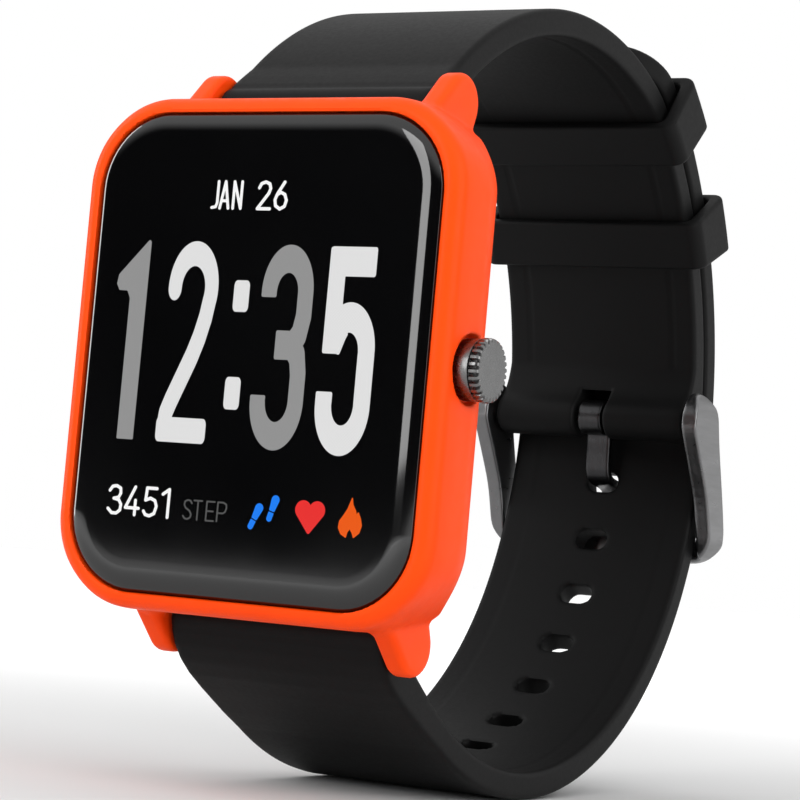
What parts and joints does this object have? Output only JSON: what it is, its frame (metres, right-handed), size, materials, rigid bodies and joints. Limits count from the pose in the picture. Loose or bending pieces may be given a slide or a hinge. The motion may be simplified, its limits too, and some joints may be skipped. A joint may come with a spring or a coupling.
{
  "type": "running watch",
  "caption": "Square-faced running watch with a lit display, a knurled crown that turns and presses, and a rubber strap closed by a tongue buckle and two keepers.",
  "frame": {"origin": "middle of the wrist opening, 36 mm behind the bezel plane", "axes": "+X towards the crown, +Y from the glass to the back of the wrist, +Z towards twelve o'clock"},
  "size_m": [0.0369, 0.0696, 0.069],
  "materials": {
    "case_orange": "smooth satin orange moulding",
    "cover_glass": "black-backed domed glass",
    "adhesive": "black foam tape",
    "display": "black panel with lit figures",
    "copper_flex": "amber film",
    "black_plastic": "fine-grained black",
    "circuit_board": "green solder mask",
    "black_chip": "moulded black",
    "plated_steel": "plated",
    "antenna_ceramic": "fired ceramic",
    "gold_contact": "gold plated",
    "battery_foil": "laminated foil pouch",
    "lead_red": "plug housing",
    "tungsten": "sintered weight",
    "seal_rubber": "soft seal",
    "led_green": "clear lens",
    "sensor_glass": "dark tinted window",
    "crown_metal": "gunmetal, bead blasted",
    "switch_white": "white",
    "spring_steel": "drawn stainless",
    "strap_rubber": "fine matt black silicone",
    "buckle_metal": "gunmetal, bead blasted",
    "tongue_metal": "dark gunmetal"
  },
  "bodies": {
    "case": {"case_shell": "case_orange", "cover_glass": "cover_glass", "glass_adhesive": "adhesive", "display_panel": "display", "display_flex": "copper_flex", "inner_frame": "black_plastic", "main_board": "circuit_board", "board_screws": "plated_steel", "processor": "black_chip", "shield_can": "plated_steel", "gps_antenna": "antenna_ceramic", "radio_antenna": "gold_contact", "motion_sensor": "black_chip", "battery": "battery_foil", "battery_lead": "lead_red", "motor_can": "plated_steel", "rear_cover": "black_plastic", "rear_gasket": "seal_rubber", "rear_screws": "plated_steel", "sensor_board": "circuit_board", "sensor_leds": "led_green", "photodiode": "black_chip", "light_divider": "black_plastic", "sensor_window": "sensor_glass", "charging_pads": "gold_contact", "crown_tube": "plated_steel", "crown_seal": "seal_rubber", "crown_switch": "black_plastic"},
    "motor_weight": {"motor_rotor": "tungsten"},
    "crown_slider": {"crown_washer": "black_plastic"},
    "crown": {"crown_cap": "crown_metal", "crown_stem": "crown_metal", "crown_clip": "plated_steel"},
    "plunger": {"switch_plunger": "switch_white"},
    "upper_strap": {"strap_top": "strap_rubber", "top_bar_tube": "spring_steel", "top_bar_spring": "spring_steel"},
    "lower_strap": {"strap_bottom": "strap_rubber", "bottom_bar_tube": "spring_steel", "bottom_bar_spring": "spring_steel"},
    "upper_keeper": {"keeper_upper": "strap_rubber"},
    "lower_keeper": {"keeper_lower": "strap_rubber"},
    "buckle": {"buckle_frame": "buckle_metal", "buckle_bar_tube": "spring_steel", "buckle_bar_spring": "spring_steel"},
    "tongue": {"buckle_tongue": "tongue_metal"},
    "top_tip_left": {"top_bar_tip_left": "spring_steel"},
    "top_tip_right": {"top_bar_tip_right": "spring_steel"},
    "bottom_tip_left": {"bottom_bar_tip_left": "spring_steel"},
    "bottom_tip_right": {"bottom_bar_tip_right": "spring_steel"},
    "buckle_tip_left": {"buckle_bar_tip_left": "spring_steel"},
    "buckle_tip_right": {"buckle_bar_tip_right": "spring_steel"}
  },
  "joints": [
    {"name": "crown_press", "type": "slide", "parent": "case", "child": "crown_slider", "axis": [-1, 0, 0], "range_m": [0, 0.0004], "stiffness_N_per_m": 5000, "springref_m": -0.0002},
    {"name": "crown_turn", "type": "hinge", "parent": "crown_slider", "child": "crown", "pos_m": [0, -0.0319, 0], "axis": [1, 0, 0], "continuous": true},
    {"name": "plunger_press", "type": "slide", "parent": "case", "child": "plunger", "axis": [-1, 0, 0], "range_m": [0, 0.0007]},
    {"name": "motor_spin", "type": "hinge", "parent": "case", "child": "motor_weight", "pos_m": [0.0092, -0.036, 0.0102], "axis": [0, 1, 0], "continuous": true},
    {"name": "upper_strap_swing", "type": "hinge", "parent": "case", "child": "upper_strap", "pos_m": [0, -0.0274, 0.0211], "axis": [1, 0, 0], "range_deg": [-0.3, 0.3], "stiffness_Nm_per_rad": 4},
    {"name": "lower_strap_swing", "type": "hinge", "parent": "case", "child": "lower_strap", "pos_m": [0, -0.0274, -0.0211], "axis": [1, 0, 0], "range_deg": [-0.3, 0.3], "stiffness_Nm_per_rad": 4},
    {"name": "upper_keeper_slide", "type": "hinge", "parent": "upper_strap", "child": "upper_keeper", "pos_m": [0, -0.0074, 0.0009], "axis": [1, 0, 0], "range_deg": [-8, 0]},
    {"name": "lower_keeper_slide", "type": "hinge", "parent": "upper_strap", "child": "lower_keeper", "pos_m": [0, -0.0074, 0.0009], "axis": [1, 0, 0], "range_deg": [-14, 1.5]},
    {"name": "buckle_swing", "type": "hinge", "parent": "upper_strap", "child": "buckle", "pos_m": [0, 0.0261, 0.0008], "axis": [1, 0, 0], "range_deg": [0, 2]},
    {"name": "tongue_swing", "type": "hinge", "parent": "buckle", "child": "tongue", "pos_m": [0, 0.0261, 0.0008], "axis": [1, 0, 0], "range_deg": [0, 1.5]},
    {"name": "top_tip_left_press", "type": "slide", "parent": "upper_strap", "child": "top_tip_left", "axis": [1, 0, 0], "range_m": [0, 0.00105], "stiffness_N_per_m": 600, "springref_m": -0.0005},
    {"name": "top_tip_right_press", "type": "slide", "parent": "upper_strap", "child": "top_tip_right", "axis": [-1, 0, 0], "range_m": [0, 0.00105], "stiffness_N_per_m": 600, "springref_m": -0.0005},
    {"name": "bottom_tip_left_press", "type": "slide", "parent": "lower_strap", "child": "bottom_tip_left", "axis": [1, 0, 0], "range_m": [0, 0.00105], "stiffness_N_per_m": 600, "springref_m": -0.0005},
    {"name": "bottom_tip_right_press", "type": "slide", "parent": "lower_strap", "child": "bottom_tip_right", "axis": [-1, 0, 0], "range_m": [0, 0.00105], "stiffness_N_per_m": 600, "springref_m": -0.0005},
    {"name": "buckle_tip_left_press", "type": "slide", "parent": "buckle", "child": "buckle_tip_left", "axis": [1, 0, 0], "range_m": [0, 0.00105], "stiffness_N_per_m": 600, "springref_m": -0.0005},
    {"name": "buckle_tip_right_press", "type": "slide", "parent": "buckle", "child": "buckle_tip_right", "axis": [-1, 0, 0], "range_m": [0, 0.00105], "stiffness_N_per_m": 600, "springref_m": -0.0005}
  ],
  "couplings": [
    {"joint": "plunger_press", "follows": "crown_press", "ratio": 1},
    {"joint": "lower_strap_swing", "follows": "upper_strap_swing", "ratio": 1}
  ]
}
